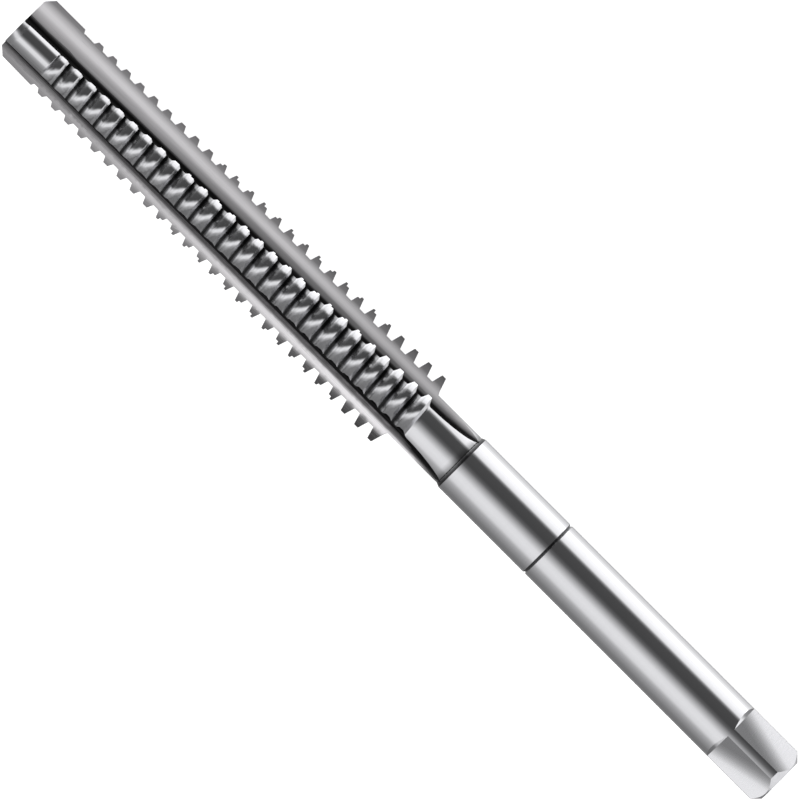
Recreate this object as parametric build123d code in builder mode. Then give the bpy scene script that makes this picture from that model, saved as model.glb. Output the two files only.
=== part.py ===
from build123d import *
from math import asin, cos, degrees, radians, sin, sqrt, tan
import os

# Trapezoidal thread tap, Tr 20 x 4, right hand, one ground piece of high-speed steel.
# It is drawn upright, with its axis on Z and its front end at z = 0, and laid down at the end.
# Sizes are millimetres and degrees.

# Blank, front to back
overall_length = 224.0
pilot_diameter = 17.0
pilot_length = 10.15
pilot_chamfer = 1.7
pilot_end_slope = 60.0
neck_diameter = 13.2
neck_end = 129.6
neck_fillet = 0.5
shank_diameter = 14.0
shank_chamfer = 0.5
ring_groove_station = 155.4
ring_groove_depth = 0.35
rear_chamfer = 1.7

# Driving square
square_across_flats = 11.2
square_length = 14.4
square_wall_slope = 60.0

# Thread: the teeth grow from the front to the back, and in the middle of the row half of each
# crest stands lower, on the back side in one turn and on the front side in the next
pitch = 4.0
root_diameter = 15.5
front_crest_diameter = 17.2
full_crest_diameter = 20.6
first_tooth = 11.75
last_tooth = 116.0
root_tooth_width = 2.45
front_crest_width = 1.3
full_crest_width = 1.05
step_start = 46.0
step_end = 101.0
step_depth = 0.55
thread_runout_radius = 2.5

# Lands and flutes. An angle is counted the way the tap cuts, from the middle of the first land.
# A flute runs from one land's cutting edge to the next land's heel, both at the root diameter.
land_count = 3
front_cutting_angle = 4.5
rear_cutting_angle = 29.0
front_heel_angle = 80.5
rear_heel_angle = 87.0
rake = 8.0
heel_slant = 41.0
flute_floor_radius = 3.5
flute_past_teeth = 1.5
flute_cutter_radius = 60.0
flute_runout = 12.0

# Rest: the tap lies on the full teeth beside one flute, with that flute straight down
rest_before_last = 1.7
rest_flute = 1

pilot_radius = pilot_diameter / 2
root_radius = root_diameter / 2
neck_radius = neck_diameter / 2
shank_radius = shank_diameter / 2
front_crest_radius = front_crest_diameter / 2
full_crest_radius = full_crest_diameter / 2
land_spacing = 360 / land_count
flute_end = last_tooth + flute_past_teeth
rest_station = last_tooth - rest_before_last
comb_foot = neck_radius - 0.6
flute_reach = 3 * full_crest_radius
flute_start = -2.0
runout_steps = 5


def around(radius, angle):
    """Point of a cross-section, at an angle counted the way the tap cuts."""
    return Vector(radius * cos(radians(angle)), -radius * sin(radians(angle)))


def axial_plane(turned):
    """Plane through the axis, with its X pointing outwards and its Y along the tool."""
    return Plane(origin=(0, 0, 0), x_dir=around(1, -turned), z_dir=around(1, 90 - turned))


def share_of_thread(station):
    return (station - first_tooth) / (last_tooth - first_tooth)


def tooth_outline(station, high_front):
    """One tooth in the axial plane, as radius and station, from its front foot to its back foot."""
    share = share_of_thread(station)
    crest = front_crest_radius + share * (full_crest_radius - front_crest_radius)
    half_crest = (front_crest_width + share * (full_crest_width - front_crest_width)) / 2
    half_root = root_tooth_width / 2
    flank = (half_root - half_crest) / (crest - root_radius)
    low = crest - step_depth
    half_low = half_crest + flank * step_depth
    top = [(crest, -half_crest), (crest, half_crest)]
    if step_start < station < step_end:
        if high_front:
            top = [(crest, -half_crest), (crest, 0), (low, 0), (low, half_low)]
        else:
            top = [(low, -half_low), (low, 0), (crest, 0), (crest, half_crest)]
    outline = [(root_radius, -half_root), *top, (root_radius, half_root)]
    return [(radius, station + offset) for radius, offset in outline]


def flute_rise(station):
    """How far the milling cutter has lifted out of the full flute."""
    past_end = max(station - flute_end, 0)
    return flute_cutter_radius - sqrt(flute_cutter_radius**2 - past_end**2)


def cutting_angle_at(station):
    return front_cutting_angle + station / flute_end * (rear_cutting_angle - front_cutting_angle)


def heel_angle_at(station):
    return front_heel_angle + station / flute_end * (rear_heel_angle - front_heel_angle)


def crest_angle(station, cutting_side):
    """Where a flute's wall meets the full crest, going out from the root diameter."""
    if cutting_side:
        return cutting_angle_at(station) + rise_angle(rake)
    return heel_angle_at(station) + rise_angle(heel_slant)


def rise_angle(slope):
    """Angle gained by a wall that leaves the root at a slope to the radius and ends at the crest."""
    return slope - degrees(asin(root_radius / full_crest_radius * sin(radians(slope))))


def flute_section(station):
    cutting_angle = cutting_angle_at(station)
    heel_angle = heel_angle_at(station)
    lift = around(flute_rise(station), (cutting_angle + heel_angle) / 2)
    edge = around(root_radius, cutting_angle) + lift
    heel = around(root_radius, heel_angle) + lift
    face_way = around(1, cutting_angle + rake)
    wall_way = around(1, heel_angle + heel_slant)
    gap = heel - edge
    down_face = gap.cross(wall_way).Z / face_way.cross(wall_way).Z
    floor = edge + face_way * down_face
    with BuildSketch(Plane.XY.offset(station)) as section:
        with BuildLine():
            walls = FilletPolyline(
                floor + face_way * flute_reach,
                floor,
                floor + wall_way * flute_reach,
                radius=flute_floor_radius,
            )
            Line(walls @ 1, walls @ 0)
        make_face()
    return section


# Turned blank: pilot, core under the teeth, neck and shank
pilot_drop = (pilot_radius - neck_radius) / tan(radians(pilot_end_slope))
with BuildPart() as tool:
    with BuildSketch(Plane.XZ):
        with BuildLine():
            front = Polyline(
                (0, 0),
                (pilot_radius - pilot_chamfer, 0),
                (pilot_radius, pilot_chamfer),
                (pilot_radius, pilot_length),
                (neck_radius, pilot_length + pilot_drop),
                (neck_radius, neck_end - neck_fillet),
            )
            corner = JernArc(front @ 1, (0, 1), neck_fillet, -45)
            Polyline(
                corner @ 1,
                (shank_radius, neck_end + shank_chamfer),
                (shank_radius, ring_groove_station - ring_groove_depth),
                (shank_radius - ring_groove_depth, ring_groove_station),
                (shank_radius, ring_groove_station + ring_groove_depth),
                (shank_radius, overall_length - rear_chamfer),
                (shank_radius - rear_chamfer, overall_length),
                (0, overall_length),
                (0, 0),
            )
        make_face()
    revolve(axis=Axis.Z)

    # Thread: each land's row of teeth is one comb, carried round the axis by the screw's motion
    cutting_margin = 12.0
    heel_margin = 8.0
    comb_front = -(rear_cutting_angle + cutting_margin)
    comb_back = land_spacing - front_heel_angle + heel_margin
    for land in range(land_count):
        start = land * land_spacing + comb_front
        shift = pitch * start / 360
        teeth = []
        turn = 0
        while first_tooth + pitch * (turn + land / land_count) < last_tooth:
            high_front = (turn + (land + 1) // land_count) % 2 == 1
            teeth += tooth_outline(first_tooth + pitch * turn + shift, high_front)
            turn += 1
        back_foot = teeth[-1]
        tail_end = back_foot[1] + thread_runout_radius / 2
        with BuildSketch(axial_plane(start)):
            with BuildLine():
                comb = Polyline(
                    (comb_foot, pilot_length - 2),
                    (root_radius, pilot_length - 2),
                    *teeth,
                )
                tail = RadiusArc(comb @ 1, (comb_foot, tail_end), thread_runout_radius)
                Line(tail @ 1, comb @ 0)
            make_face()
        arc = Helix(pitch, pitch * (comb_back - comb_front) / 360, root_radius)
        sweep(path=arc.rotate(Axis.Z, start), is_frenet=True)

    # Flutes: straight cutting face with its rake, round floor, slanted heel wall. The floor leaves
    # the web along the milling cutter's own radius.
    full_flute = [flute_section(flute_start).sketch, flute_section(flute_end).sketch]
    flute_exit = [
        flute_section(flute_end + step * flute_runout / runout_steps).sketch
        for step in range(runout_steps + 1)
    ]
    flute = loft(full_flute, ruled=True, mode=Mode.PRIVATE)
    runout = loft(flute_exit, mode=Mode.PRIVATE)
    for land in range(land_count):
        turned = land * land_spacing
        add([flute.rotate(Axis.Z, turned), runout.rotate(Axis.Z, turned)], mode=Mode.SUBTRACT)

    # Driving square, with a land of the round shank left at each corner
    flat = square_across_flats / 2
    flat_start = overall_length - square_length
    clear = shank_radius + 1
    for corner in range(4):
        turned = 45 + corner * 90
        with BuildSketch(axial_plane(turned)):
            with BuildLine():
                Polyline(
                    (flat, flat_start),
                    (clear, flat_start - (clear - flat) / tan(radians(square_wall_slope))),
                    (clear, overall_length + 1),
                    (flat, overall_length + 1),
                    close=True,
                )
            make_face()
        extrude(amount=clear, both=True, mode=Mode.SUBTRACT)

# Laid down: the axis on X with the front end towards -X, and the origin in the middle of the
# rear end face
flute_middle = (
    crest_angle(rest_station, cutting_side=True) + crest_angle(rest_station, cutting_side=False)
) / 2
roll = radians(flute_middle + rest_flute * land_spacing - 180)
lying = Plane(origin=(-overall_length, 0, 0), x_dir=(0, -sin(roll), cos(roll)), z_dir=(1, 0, 0))
with BuildPart() as tap:
    with Locations(lying):
        add(tool.part)

tap.part.label = "tap"
os.makedirs("parts", exist_ok=True)
export_step(tap.part, "parts/tap.step")
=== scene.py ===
from math import atan2, cos, degrees, radians, sin

import bmesh
import bpy
from mathutils import Matrix, Vector


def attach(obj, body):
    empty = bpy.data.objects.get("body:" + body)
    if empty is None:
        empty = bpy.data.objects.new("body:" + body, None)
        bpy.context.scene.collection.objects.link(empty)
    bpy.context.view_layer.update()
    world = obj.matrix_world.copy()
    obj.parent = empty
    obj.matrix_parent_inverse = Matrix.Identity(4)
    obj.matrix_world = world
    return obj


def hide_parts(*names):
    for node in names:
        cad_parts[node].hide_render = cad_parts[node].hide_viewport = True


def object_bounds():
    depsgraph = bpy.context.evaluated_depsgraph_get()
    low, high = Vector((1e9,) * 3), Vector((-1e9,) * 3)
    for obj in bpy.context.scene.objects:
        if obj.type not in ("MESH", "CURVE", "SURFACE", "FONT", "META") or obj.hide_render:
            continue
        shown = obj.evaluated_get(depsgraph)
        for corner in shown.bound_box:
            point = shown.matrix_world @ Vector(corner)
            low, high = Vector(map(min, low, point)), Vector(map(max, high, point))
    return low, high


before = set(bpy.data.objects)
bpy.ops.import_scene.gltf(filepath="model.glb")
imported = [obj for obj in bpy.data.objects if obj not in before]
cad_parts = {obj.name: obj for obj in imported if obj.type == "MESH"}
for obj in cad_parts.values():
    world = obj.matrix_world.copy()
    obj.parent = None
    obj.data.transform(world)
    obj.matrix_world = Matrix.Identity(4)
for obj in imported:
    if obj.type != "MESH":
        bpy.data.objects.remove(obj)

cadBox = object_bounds()
print("frame loaded", [round(v, 4) for v in cadBox[0]], [round(v, 4) for v in cadBox[1]])

# The tap: how it lies, how its surfaces are finished, and how its mesh is parted and shaded. Its axis is
# on X, and it is rolled so that one flute is straight down.
tap = {
    "roll": 4.282,
    "length": 0.224,

    # Finishes: each ground surface has its own grain and shade, and much of that shade is painted shade and
    # painted highlight. Distances are in millimetres here, and stations count from the rear end. A bump is
    # its strength and its depth in metres, and a grain its lines to the metre along the tap and round it.
    "colour": (0.80, 0.80, 0.825),
    "fluteColour": (0.80, 0.783, 0.805),
    "colourLevel": 0.8,  # the shade that the two colours are
    "cloudDetail": 4.0,
    "grainDetail": 3.0,
    "round": {
        "roughness": 0.10, "ringRoughness": 0.10, "cloudRoughness": 0.05, "bump": (0.10, 0.00002),
        "grain": (1 / 0.00011, 120), "cloud": 70.0, "ringShare": 0.6, "shades": (0.736, 0.82),
        # painted shade: the neck darkens towards its shoulder
        "neckFade": (-96.6, -94.6), "neckEnd": -94.3, "neckDulled": 0.6,
    },
    "groove": {
        "roughness": 0.30, "unevenness": 0.10, "bump": (0.10, 0.00002), "grain": (1 / 0.00011, 120),
        "darkens": (-94.9, -94.2), "shades": (0.30, 0.07),
    },
    "root": {
        "roughness": 0.26, "unevenness": 0.12, "bump": (1.0, 0.00030), "cloud": 700.0,
        # painted shadow and light: shares of a pitch behind a crest across which the root's painted shadow
        # turns light, and degrees on the land between which the root turns pale
        "polished": (0.42, 0.60), "paleAt": (2.0, -20.0), "paleness": (0.55, 1.0),
        "mottled": 0.1, "shades": (0.02, 0.72),
    },
    "flank": {
        "roughness": 0.24, "unevenness": 0.12, "bump": (0.12, 0.00002), "cloud": 900.0,
        "shades": (0.64, 0.84),
    },
    "flute": {
        "unevenness": 0.14, "bump": (0.15, 0.00003), "grain": (90, 1 / 0.00014), "cloud": 160.0,
        "mottled": 0.12, "reach": 5.0, "ends": (-218.0, -120.0), "matt": (0.6, 0.95),
    },
    # painted shade and light: shades by height above the web, and how strong they are at the front and the
    # rear of the flute
    "heel": {
        "roughness": 0.30, "strength": (1.14, 0.61),
        "shades": ((0.0, 0.30), (0.3, 0.42), (0.7, 0.60), (1.15, 0.62), (1.8, 0.46), (2.6, 0.22),
                   (4.5, 0.13)),
    },
    "face": {
        "roughness": 0.26, "strength": (0.5, 1.0),
        "shades": ((0.0, 0.30), (0.3, 0.45), (0.43, 0.72), (0.7, 0.92), (1.5, 0.90), (2.6, 0.62),
                   (4.5, 0.45)),
    },
    # painted reflection: shades by distance across from the axis, which on the square lean along the tap
    "square": {
        "roughness": 0.28, "unevenness": 0.16, "bump": (0.1, 0.00002), "grain": (5200, 500),
        "mottled": 0.3, "lean": 0.22, "reach": 8.0,
        "shades": ((0.0, 0.23), (0.8, 0.30), (1.6, 0.44), (2.4, 0.66), (3.2, 0.90), (4.2, 0.96)),
    },
    "crescent": {
        "roughness": 0.30, "unevenness": 0.10, "cloud": 900.0, "reach": 7.0,
        "shades": ((0.0, 0.35), (1.5, 0.85), (3.4, 0.8), (4.6, 0.25), (6.8, 0.18)),
    },

    # Mesh: how it is cut finer, which surface a face belongs to, and which way it is shaded. Lengths are
    # in metres and angles in degrees.
    "mergeDistance": 0.000002,
    "sliceTurn": 5,
    "firstSlice": 1.3,
    "sliceTolerance": 0.0000005,
    "furthestSettled": 0.00006,
    "sharpAngle": 24.0,
    "wallWeight": 100,
    # a turned face has its corners on one radius, and faces straight out
    "sameRadius": 0.00003,
    "smallestTurned": 0.0065,
    "straightOut": 0.9,
    "level": 0.1,
    # how much a wall or an end face looks along the tap, and a thread's flank across it
    "steepWall": 0.3,
    "endWall": 0.995,
    "flankAcross": 0.3,
    # radii and stations that part the surfaces, or the stations between which one lies
    "neckBelow": 0.0072,
    "rootBelow": 0.00775,
    "crestAbove": 0.00785,
    "behindThread": -0.1060,
    "behindFlutes": -0.0940,
    "tailFrom": -0.1100,
    "shoulder": (-0.0960, -0.0930),
    "ringGroove": (-0.0692, -0.0680),
    "beforeSquare": (-0.0165, -0.0135),
    # the thread's first and last stations, and what the web's radius and the land's middle are there
    "thread": (-0.2184, -0.1090),
    "web": (0.0051, 0.0057),
    "landMiddle": (-15.6, 5.65),
    "landSpacing": 120,
    "pitch": 0.004,
    "toothAt": -0.21225,
    "pilotEnd": -0.2135,
    # how the ground crest turns away from its middle: the way it faces, and where on the land it does so
    # at the front of the thread and at the last tooth
    "crestTurn": (
        (-66, (-24, -26)), (-58, (-13, -16)), (-50, (-9.5, -12.5)), (-38, (-6.8, -9.5)), (-30, (-3.8, -6)),
        (-17, (-0.8, -3.5)), (-5, (2.1, -1)), (3, (4.8, 1)), (20, (13.2, 8)), (27, (16.8, 12)),
        (33, (19.5, 15.5)), (50, (24, 24)),
    ),
    # the crest's lower bands slant by this much in a pitch, less and less up to an angle on the land
    "crestSlant": 30,
    "slantUntil": 12,
    "slantFade": 8,
    # how far a flank takes the shading of its crest, and behind which share of a pitch the root does
    "frontFlankSoftness": 0.85,
    "rearFlankSoftness": 0.35,
    "rootRise": 0.5,
    # how far the tail of the last tooth takes the shading of the core
    "tailSoftness": 0.75,
    # how far the square's flats seem tilted, and how far the walls before them take their shading
    "squareTilt": 14,
    "crescentSoftness": 0.7,
    # where the shade begins on the wall of a flute, and how far it fades, at the front and the last tooth
    "upperShade": ((56, 66), (17, 20)),
    "lowerShade": ((33.5, 40), (20, 12)),
    "deepestShade": 0.97,
    # the lower flute's shade reaches further where the flute leaves through the neck
    "exitFrom": -0.1075,
    "exitWithin": 0.004,
    "exitShade": 12,
}
alongTap = Vector((1, 0, 0))
acrossTap = Vector((0, cos(radians(tap["roll"])), sin(radians(tap["roll"]))))
outOfLand = Vector((0, -sin(radians(tap["roll"])), cos(radians(tap["roll"]))))


def facing(turn):
    # straight out of the tap, at an angle from the way its first land faces
    return outOfLand * cos(radians(turn)) + acrossTap * sin(radians(turn))


class Socket:
    # a value in a node tree, so that shader maths can be written as an expression
    def __init__(self, tree, link=None):
        self.tree = tree
        self.link = link

    def node(self, kind, settings=None, values=None, out=0):
        made = self.tree.nodes.new(kind)
        for name, value in (settings or {}).items():
            if name == "stops":
                ramp = made.color_ramp
                ramp.elements.remove(ramp.elements[1])
                ramp.elements[0].position, ramp.elements[0].color = value[0][0], (*value[0][1], 1)
                for place, colour in value[1:]:
                    ramp.elements.new(place).color = (*colour, 1)
            else:
                setattr(made, name, value)
        for name, value in (values or {}).items():
            if isinstance(value, Socket):
                self.tree.links.new(value.link, made.inputs[name])
            else:
                made.inputs[name].default_value = value
        return Socket(self.tree, made.outputs[out])

    def put(self, operation, first, second=0.0):
        return self.node("ShaderNodeMath", {"operation": operation}, {0: first, 1: second})

    def __add__(self, other): return self.put("ADD", self, other)
    def __radd__(self, other): return self.put("ADD", other, self)
    def __sub__(self, other): return self.put("SUBTRACT", self, other)
    def __rsub__(self, other): return self.put("SUBTRACT", other, self)
    def __mul__(self, other): return self.put("MULTIPLY", self, other)
    def __rmul__(self, other): return self.put("MULTIPLY", other, self)
    def __truediv__(self, other): return self.put("DIVIDE", self, other)
    def __rtruediv__(self, other): return self.put("DIVIDE", other, self)
    def __lt__(self, other): return self.put("LESS_THAN", self, other)
    def __gt__(self, other): return self.put("GREATER_THAN", self, other)


def newMaterial(name):
    material = bpy.data.materials.new(name)
    material.use_nodes = True
    tree = material.node_tree
    tree.nodes.clear()
    shader = tree.nodes.new("ShaderNodeBsdfPrincipled")
    output = tree.nodes.new("ShaderNodeOutputMaterial")
    tree.links.new(shader.outputs[0], output.inputs[0])
    return material, shader


def steel(name):
    material, shader = newMaterial(name)
    shader.inputs["Metallic"].default_value = 1.0
    return material, shader, Socket(material.node_tree).node("ShaderNodeTexCoord", out="Object")


def feed(shader, name, value):
    value.tree.links.new(value.link, shader.inputs[name])


def noise(place, scale, detail):
    return place.node("ShaderNodeTexNoise", {"noise_dimensions": "3D"},
                      {"Vector": place, "Scale": scale, "Detail": detail})


def cloudOn(place, scale):
    return noise(place, scale, tap["cloudDetail"])


def grainOn(place, lines):
    along, around = lines
    stretched = place.node("ShaderNodeMapping", {"vector_type": "POINT"},
                           {0: place, "Scale": (along, around, around)})
    return noise(stretched, 1.0, tap["grainDetail"])


def uneven(value, amount):
    return (value - 0.5) * amount


def measured(place, name):
    # a measure that is stored on the piece's own points
    return place.node("ShaderNodeAttribute", {"attribute_type": "GEOMETRY", "attribute_name": name},
                      out="Fac")


def mapped(value, reach, result=(0.0, 1.0), shape="LINEAR"):
    return value.node("ShaderNodeMapRange", {"interpolation_type": shape},
                      {0: value, 1: reach[0], 2: reach[1], 3: result[0], 4: result[1]})


def shade(amount, colour="colour"):
    return [part * amount / tap["colourLevel"] for part in tap[colour]]


def mixed(share, first, second):
    return share.node("ShaderNodeMix", {"data_type": "RGBA"}, {0: share, 6: first, 7: second}, 2)


def shadeBetween(share, amounts):
    dark, light = [(*shade(amount), 1) for amount in amounts]
    return mixed(share, dark, light)


def shadeAlong(place, shades, reach, colour="colour"):
    stops = [(mark / reach, shade(amount, colour)) for mark, amount in shades]
    return place.node("ShaderNodeValToRGB", {"stops": stops}, {0: mapped(place, (0.0, reach))})


def dotted(vector, way):
    return vector.node("ShaderNodeVectorMath", {"operation": "DOT_PRODUCT"}, {0: vector, 1: way}, "Value")


def scaled(colour, amount):
    return colour.node("ShaderNodeVectorMath", {"operation": "SCALE"}, {0: colour, "Scale": amount})


def ground(height, own):
    strength, depth = own["bump"]
    return height.node("ShaderNodeBump", {}, {"Strength": strength, "Distance": depth, "Height": height})


def distanceAcross(place):
    # from the tap's axis, measured square to the way its first land faces
    across = dotted(place, acrossTap * 1000)
    return across.put("ABSOLUTE", across)


def roundSteel():
    # cylindrical grinding leaves fine rings, and handling a faint cloud
    own = tap["round"]
    material, shader, place = steel("roundSteel")
    rings = grainOn(place, own["grain"])
    cloud = cloudOn(place, own["cloud"])
    station = measured(place, "station")
    # painted shade: the neck's colour darkens towards its shoulder
    onNeck = mapped(station, own["neckFade"], shape="SMOOTHSTEP") * (station < own["neckEnd"])
    colour = shadeBetween(rings * own["ringShare"] + cloud * (1 - own["ringShare"]), own["shades"])
    roughness = own["roughness"] + uneven(rings, own["ringRoughness"]) + uneven(cloud, own["cloudRoughness"])
    feed(shader, "Base Color", scaled(colour, 1.0 - onNeck * own["neckDulled"]))
    feed(shader, "Roughness", roughness)
    feed(shader, "Normal", ground(rings, own))
    return material


def shadowedGrooveSteel():
    # painted shade: the shoulder darkens towards the shank
    own = tap["groove"]
    material, shader, place = steel("shadowedGrooveSteel")
    rings = grainOn(place, own["grain"])
    towardsShank = mapped(measured(place, "station"), own["darkens"])
    feed(shader, "Base Color", shadeBetween(towardsShank, own["shades"]))
    feed(shader, "Roughness", own["roughness"] + uneven(rings, own["unevenness"]))
    feed(shader, "Normal", ground(rings, own))
    return material


def rootSteel():
    # painted shadow and light: the root is black behind a tooth, in its painted shadow, and turns light
    # towards the next one; it is paler towards the heel
    own = tap["root"]
    material, shader, place = steel("rootSteel")
    cloud = cloudOn(place, own["cloud"])
    screw = measured(place, "screwPlace")
    rise = mapped(screw.put("FRACT", screw), own["polished"], shape="SMOOTHSTEP")
    # painted light: the root is paler towards the heel
    paleness = mapped(measured(place, "landAngle"), own["paleAt"], own["paleness"])
    feed(shader, "Base Color", shadeBetween(rise * paleness + uneven(cloud, own["mottled"]), own["shades"]))
    feed(shader, "Roughness", own["roughness"] + uneven(cloud, own["unevenness"]))
    feed(shader, "Normal", ground(rise, own))
    return material


def flankSteel():
    own = tap["flank"]
    material, shader, place = steel("flankSteel")
    cloud = cloudOn(place, own["cloud"])
    feed(shader, "Base Color", shadeBetween(cloud, own["shades"]))
    feed(shader, "Roughness", own["roughness"] + uneven(cloud, own["unevenness"]))
    feed(shader, "Normal", ground(cloud, own))
    return material


def fluteSteel(name, own):
    # the wheel's lines run along the flute; painted shade keeps its deep part dark, and its shade changes
    # with height and along the flute
    flute = tap["flute"]
    material, shader, place = steel(name)
    lines = grainOn(place, flute["grain"])
    cloud = cloudOn(place, flute["cloud"])
    height = measured(place, "aboveWeb") + uneven(lines, flute["mottled"]) + uneven(cloud, flute["mottled"])
    colour = shadeAlong(height, own["shades"], flute["reach"], "fluteColour")
    # painted light and shade: the flute is brighter or darker towards its front or rear
    strength = mapped(measured(place, "station"), flute["ends"], own["strength"])
    shaded = measured(place, "shaded")
    # the darkest painted shade is matt, so that it stays black where it is seen from the side
    feed(shader, "Metallic", mapped(shaded, flute["matt"], (1.0, 0.0)))
    shader.inputs["Specular IOR Level"].default_value = 0.0
    feed(shader, "Base Color", scaled(colour, strength * (1.0 - shaded)))
    feed(shader, "Roughness", own["roughness"] + uneven(lines, flute["unevenness"]))
    feed(shader, "Normal", ground(lines, flute))
    return material


def squareSteel():
    # milled flats with a painted reflection, darker beside the corner that faces up and bright towards their
    # outer and rear edges
    own = tap["square"]
    material, shader, place = steel("squareSteel")
    grain = grainOn(place, own["grain"])
    lean = measured(place, "station") * own["lean"] + uneven(grain, own["mottled"])
    feed(shader, "Base Color", shadeAlong(distanceAcross(place) + lean, own["shades"], own["reach"]))
    feed(shader, "Roughness", own["roughness"] + uneven(grain, own["unevenness"]))
    feed(shader, "Normal", ground(grain, own))
    return material


def crescentSteel():
    # the milled wall before each flat, with a painted highlight in its inner half
    own = tap["crescent"]
    material, shader, place = steel("crescentSteel")
    spots = noise(place, own["cloud"], tap["grainDetail"])
    feed(shader, "Base Color", shadeAlong(distanceAcross(place), own["shades"], own["reach"]))
    feed(shader, "Roughness", own["roughness"] + uneven(spots, own["unevenness"]))
    return material


def clamped(value):
    return min(max(value, 0), 1)


def distance(point):
    return Vector((0, point.y, point.z)).length


def radial(point):
    return Vector((0, point.y, point.z)).normalized()


def backward(point):
    # 0 at the front of the thread, 1 at the last tooth
    front, rear = tap["thread"]
    return (point.x - front) / (rear - front)


def between(values, share):
    first, last = values
    return first + (last - first) * share


def turnOf(point):
    return degrees(atan2(point.dot(acrossTap), point.dot(outOfLand)))


def landPlace(point):
    # the land that a point belongs to, and its place on that land in degrees
    turn = turnOf(point) - between(tap["landMiddle"], backward(point))
    land = round(turn / tap["landSpacing"])
    return land, turn - land * tap["landSpacing"]


def screwPlace(point):
    # turns of the thread from the first tooth's middle, so that its fraction is 0 at every crest
    return (point.x - tap["toothAt"]) / tap["pitch"] + turnOf(point) / 360


def crestFacing(point):
    land, turn = landPlace(point)
    if point.x > tap["pilotEnd"]:
        # on a tooth the lower bands lie slanted
        place = screwPlace(point)
        fade = clamped((tap["slantUntil"] - turn) / tap["slantFade"])
        turn -= tap["crestSlant"] * (place - round(place)) * fade
    back = clamped(backward(point))
    steps = [(between(places, back), faced) for faced, places in tap["crestTurn"]]
    turn = min(max(turn, steps[0][0]), steps[-1][0])
    for (place0, faced0), (place1, faced1) in zip(steps, steps[1:]):
        if turn <= place1:
            share = (turn - place0) / (place1 - place0)
            return facing(land * tap["landSpacing"] + between((faced0, faced1), share))


def flatFacing(normal):
    # a flat of the square mirrors the tent as if it leaned towards the top or the bottom land
    tilt = radians(45 - tap["squareTilt"])
    upwards = outOfLand if normal.dot(outOfLand) > 0 else -outOfLand
    across = acrossTap if normal.dot(acrossTap) > 0 else -acrossTap
    return upwards * cos(tilt) + across * sin(tilt)


def shadedPart(point):
    # painted shade: the side of the upper flute under the first land's edge is dark, and so is the floor of
    # the lower one
    land, turn = landPlace(point)
    back = clamped(backward(point))
    share = 1 if land == 0 else 0
    if land == 0 and turn > 0:
        begins, fade = [between(values, back) for values in tap["upperShade"]]
        share = clamped((begins - turn) / fade)
    elif land == -1 and turn > 0:
        begins, fade = [between(values, back) for values in tap["lowerShade"]]
        onNeck = clamped((point.x - tap["exitFrom"]) / tap["exitWithin"])
        share = clamped((turn - begins + tap["exitShade"] * onNeck) / fade)
    return tap["deepestShade"] * share * share * (3 - 2 * share)


def aboveWeb(point):
    return distance(point) - between(tap["web"], backward(point))


def isTurned(face):
    radii = [distance(v.co) for v in face.verts]
    even = max(radii) - min(radii) < tap["sameRadius"] and min(radii) > tap["smallestTurned"]
    return even and face.normal.dot(radial(face.calc_center_median())) > tap["straightOut"]


def tapShape():
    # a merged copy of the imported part, with its round surfaces sliced finer and set on their true circle
    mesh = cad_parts["tap"].data.copy()
    work = bmesh.new()
    work.from_mesh(mesh)
    bmesh.ops.remove_doubles(work, verts=work.verts, dist=tap["mergeDistance"])
    work.normal_update()
    turned = work.faces.layers.int.new("turned")
    reach = work.verts.layers.float.new("reach")
    for face in work.faces:
        face[turned] = int(isTurned(face))
        if face[turned]:
            for v in face.verts:
                v[reach] = distance(v.co)
    for turn in range(0, 180, tap["sliceTurn"]):
        bmesh.ops.bisect_plane(work, geom=list(work.verts) + list(work.edges) + list(work.faces),
                               dist=tap["sliceTolerance"], plane_co=(0, 0, 0),
                               plane_no=facing(turn + tap["firstSlice"]))
    # a new point of a turned face has no reach yet, and takes the face's own
    settled = {}
    for face in work.faces:
        if face[turned]:
            widest = max(distance(v.co) for v in face.verts)
            for v in face.verts:
                settled[v] = max(settled.get(v, 0), v[reach], widest if v[reach] == 0 else 0)
    for v, wanted in settled.items():
        now = distance(v.co)
        if 0 < wanted - now < tap["furthestSettled"]:
            v.co.y *= wanted / now
            v.co.z *= wanted / now
    bmesh.ops.triangulate(work, faces=work.faces)
    work.to_mesh(mesh)
    work.free()
    if mesh.has_custom_normals:
        mesh.attributes.remove(mesh.attributes["custom_normal"])
    return mesh


def smoothed(mesh):
    # the piece, with flat walls that keep their own direction beside a fillet
    for face in mesh.polygons:
        face.use_smooth = True
    mesh.set_sharp_from_angle(angle=radians(tap["sharpAngle"]))
    piece = bpy.data.objects.new("tapBody", mesh)
    bpy.context.scene.collection.objects.link(piece)
    evening = piece.modifiers.new("evenNormals", "WEIGHTED_NORMAL")
    evening.keep_sharp = True
    evening.weight = tap["wallWeight"]
    shaped = bpy.data.meshes.new_from_object(piece.evaluated_get(bpy.context.evaluated_depsgraph_get()))
    piece.modifiers.clear()
    piece.data = shaped
    shaped.name = "tapBody"
    return piece


def turnedFinish(face, corners):
    # crests, roots, pilot, neck and shank get their exact round direction, and a crest its bands
    reach = distance(face.center)
    onThread = face.center.x < tap["behindThread"]
    onCrest = onThread and reach > tap["crestAbove"]
    inRoot = onThread and tap["neckBelow"] < reach and not onCrest
    facings = []
    for p in corners:
        towardsTooth = inRoot and screwPlace(p) % 1 > tap["rootRise"]
        facings.append(crestFacing(p) if onCrest or towardsTooth else radial(p))
    return "root" if inRoot else "round", facings


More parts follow.
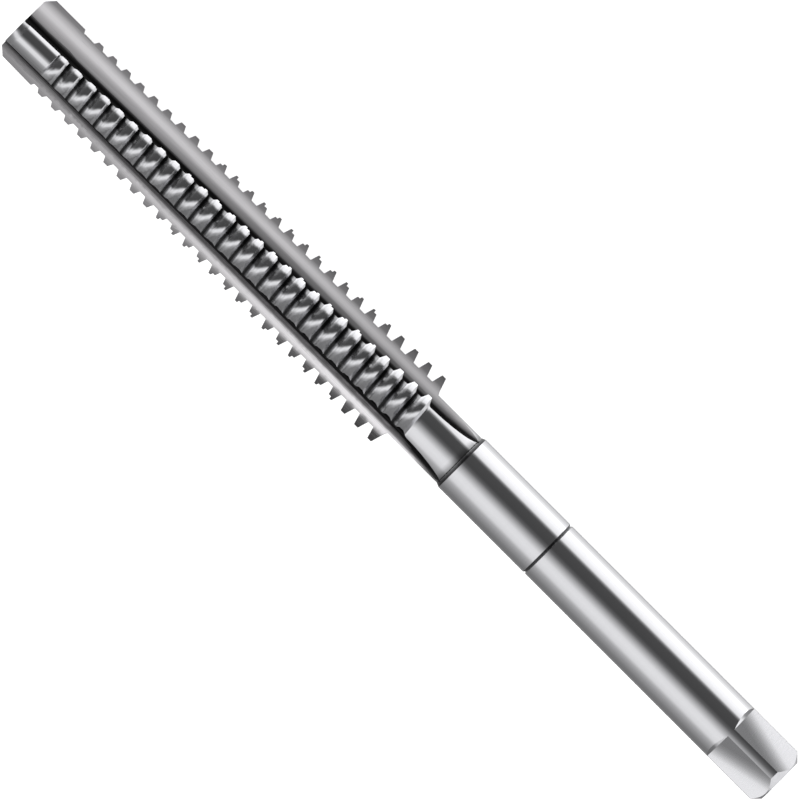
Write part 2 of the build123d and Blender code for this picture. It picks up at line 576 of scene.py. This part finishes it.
def wallFinish(face, corners, side):
    # cones and flanks keep their own slope all round, and a tooth's flanks lean to the bands of its crest
    x = face.center.x
    lift = face.normal.dot(radial(face.center))
    onTooth = x < tap["behindThread"]
    inTail = onTooth and x > tap["tailFrom"] and distance(face.center) < tap["rootBelow"]
    softness = tap["rearFlankSoftness" if face.normal.x > 0 else "frontFlankSoftness"]
    facings = []
    for p in corners:
        out = radial(p)
        way = (alongTap * face.normal.x + out * lift + alongTap.cross(out) * side).normalized()
        if inTail:
            way = way.lerp(out, tap["tailSoftness"]).normalized()
        elif onTooth:
            way = way.lerp(crestFacing(p), softness).normalized()
        facings.append(way)
    return "round" if inTail else "flank", facings


def finishOf(face, corners, turned):
    # the finish of a face, and the way each corner is shaded where that isn't its own direction
    x = face.center.x
    outwards = radial(face.center)
    side = face.normal.dot(alongTap.cross(outwards))
    lean = abs(face.normal.x)
    if turned and face.normal.dot(outwards) > tap["straightOut"] and lean < tap["level"]:
        return turnedFinish(face, corners)
    if tap["steepWall"] < lean < tap["endWall"]:
        if tap["beforeSquare"][0] < x < tap["beforeSquare"][1]:
            way = face.normal.lerp(flatFacing(face.normal), tap["crescentSoftness"]).normalized()
            return "crescent", [way for p in corners]
        finish, facings = "flank", None
        if abs(side) < tap["flankAcross"]:
            finish, facings = wallFinish(face, corners, side)
        # painted shade: the shoulder of the neck and the front wall of the ring groove are dark
        inShoulder = tap["shoulder"][0] < x < tap["shoulder"][1]
        inGroove = tap["ringGroove"][0] < x < tap["ringGroove"][1] and face.normal.x > 0
        return "groove" if inShoulder or inGroove else finish, facings
    if lean <= tap["steepWall"] and x < tap["behindFlutes"]:
        return "heel" if side > 0 else "face", None
    if lean <= tap["steepWall"] and x > tap["beforeSquare"][0]:
        return "square", [flatFacing(face.normal) for p in corners]
    return "round", None


def dressTap():
    steels = {
        "round": roundSteel(),
        "flank": flankSteel(),
        "heel": fluteSteel("heelSteel", tap["heel"]),
        "square": squareSteel(),
        "root": rootSteel(),
        "face": fluteSteel("faceSteel", tap["face"]),
        "groove": shadowedGrooveSteel(),
        "crescent": crescentSteel(),
    }
    mesh = tapShape()
    mesh.materials.clear()
    for material in steels.values():
        mesh.materials.append(material)
    piece = smoothed(mesh)
    mesh = piece.data
    slots = {name: place for place, name in enumerate(steels)}
    points = [vertex.co for vertex in mesh.vertices]
    normals = [Vector(corner.vector) for corner in mesh.corner_normals]
    turned = mesh.attributes["turned"].data
    for face in mesh.polygons:
        finish, facings = finishOf(face, [points[i] for i in face.vertices], turned[face.index].value)
        face.material_index = slots[finish]
        if facings:
            for i, way in zip(face.loop_indices, facings):
                normals[i] = way
    mesh.normals_split_custom_set([tuple(n) for n in normals])

    # measures that the finishes read, in millimetres, degrees, turns and shares
    for name, values in (
        ("aboveWeb", [aboveWeb(p) * 1000 for p in points]),
        ("landAngle", [landPlace(p)[1] for p in points]),
        ("station", [p.x * 1000 for p in points]),
        ("screwPlace", [screwPlace(p) for p in points]),
        ("shaded", [shadedPart(p) for p in points]),
    ):
        mesh.attributes.new(name, "FLOAT", "POINT").data.foreach_set("value", values)
    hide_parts("tap")
    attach(piece, "root")
    return piece


tapBody = dressTap()
print("tap dressed", len(tapBody.data.polygons), "faces")


# Floor, light tent and lamp, in metres. A band of the tent is an angle from straight above the first
# land and a brightness there, and its two ends are seen by faces that look along the tap.
studio = {
    "floorSize": 6.0,
    "floorColour": (0.9, 0.9, 0.9),
    "floorRoughness": 0.9,
    "floorShine": 0.1,
    "floorGlow": 0.85,
    "tentStrength": 1.0,
    "bands": (
        (-180, 0.06), (-172, 0.12), (-160, 0.28), (-140, 0.20), (-120, 0.23), (-96, 0.36), (-80, 0.50),
        (-66, 0.85), (-46, 0.94), (-32, 0.90), (-16, 0.52), (0, 0.15), (12, 0.07), (46, 0.08), (53, 0.25),
        (60, 1.0), (80, 1.25), (112, 1.2), (130, 0.9), (144, 0.75), (160, 0.60), (172, 0.12), (180, 0.06),
    ),
    "endFade": (0.75, 0.95),
    "rearEnd": 0.95,
    "frontEnd": 0.40,
    "backdrop": 1.1,
    "key": {"long": 1.6, "wide": 0.6, "away": 1.6, "turn": 100, "power": 1.5},
}
# the picture's width at the tap, and the place of its middle from the tap's tip and across its axis
view = {"lens": 1000.0, "sensor": 36.0, "frame": 0.1674, "fromTip": 0.1115, "across": 0.0002,
        "near": 0.05, "far": 50.0}
viewMiddle = alongTap * (view["fromTip"] - tap["length"])


def makeFloor():
    work = bmesh.new()
    bmesh.ops.create_grid(work, x_segments=1, y_segments=1, size=studio["floorSize"] / 2)
    bmesh.ops.translate(work, verts=work.verts, vec=(-tap["length"] / 2, 0, cadBox[0].z))
    mesh = bpy.data.meshes.new("floor")
    work.to_mesh(mesh)
    work.free()
    material, shader = newMaterial("paleFloor")
    shader.inputs["Base Color"].default_value = (*studio["floorColour"], 1)
    shader.inputs["Roughness"].default_value = studio["floorRoughness"]
    shader.inputs["Specular IOR Level"].default_value = studio["floorShine"]
    shader.inputs["Emission Color"].default_value = (1, 1, 1, 1)
    shader.inputs["Emission Strength"].default_value = studio["floorGlow"]
    mesh.materials.append(material)
    floor = bpy.data.objects.new("floor", mesh)
    floor.visible_glossy = False
    bpy.context.scene.collection.objects.link(floor)


def makeTent():
    # the light tent that the steel mirrors, which the camera sees as a plain white backdrop
    world = bpy.data.worlds.new("studio")
    bpy.context.scene.world = world
    world.use_nodes = True
    tree = world.node_tree
    tree.nodes.clear()
    way = Socket(tree).node("ShaderNodeTexCoord", out="Generated")
    across, upwards, lengthwise = [dotted(way, axis) for axis in (acrossTap, outOfLand, alongTap)]
    turn = across.put("ARCTAN2", across, upwards) / radians(360) + 0.5
    stops = [(angle / 360 + 0.5, (level, level, level)) for angle, level in studio["bands"]]
    colour = turn.node("ShaderNodeValToRGB", {"stops": stops}, {0: turn})
    low, high = studio["endFade"]
    for reach, level in (((low, high), studio["rearEnd"]), ((-low, -high), studio["frontEnd"])):
        share = mapped(lengthwise, reach, shape="SMOOTHSTEP")
        colour = mixed(share, colour, (level, level, level, 1))
    tent = colour.node("ShaderNodeBackground", {}, {"Color": colour, "Strength": studio["tentStrength"]})
    white = (1, 1, 1, 1)
    backdrop = colour.node("ShaderNodeBackground", {}, {"Color": white, "Strength": studio["backdrop"]})
    seen = colour.node("ShaderNodeLightPath", out="Is Camera Ray")
    both = seen.node("ShaderNodeMixShader", {}, {0: seen, 1: tent, 2: backdrop})
    tree.links.new(both.link, tree.nodes.new("ShaderNodeOutputWorld").inputs[0])


def makeKey():
    key = studio["key"]
    data = bpy.data.lights.new("sideSoftbox", "AREA")
    data.shape = "RECTANGLE"
    data.size = key["long"]
    data.size_y = key["wide"]
    data.energy = key["power"]
    side = facing(key["turn"])
    aimed = Matrix((alongTap, side.cross(alongTap), side)).transposed().to_4x4()
    lamp = bpy.data.objects.new("sideSoftbox", data)
    lamp.matrix_world = Matrix.Translation(viewMiddle + side * key["away"]) @ aimed
    bpy.context.scene.collection.objects.link(lamp)


def makeCamera():
    # it looks down square to the first land, from far away, with the tap's rear end to the lower right
    data = bpy.data.cameras.new("camera")
    data.lens = view["lens"]
    data.sensor_width = view["sensor"]
    data.clip_start = view["near"]
    data.clip_end = view["far"]
    away = view["frame"] * view["lens"] / view["sensor"]
    right = (alongTap + acrossTap).normalized()
    up = (acrossTap - alongTap).normalized()
    aimed = Matrix((right, up, outOfLand)).transposed().to_4x4()
    stand = viewMiddle + acrossTap * view["across"] + outOfLand * away
    camera = bpy.data.objects.new("camera", data)
    camera.matrix_world = Matrix.Translation(stand) @ aimed
    bpy.context.scene.collection.objects.link(camera)
    bpy.context.scene.camera = camera


bpy.context.scene.view_settings.view_transform = "Standard"
makeFloor()
makeTent()
makeKey()
makeCamera()
print("studio ready")
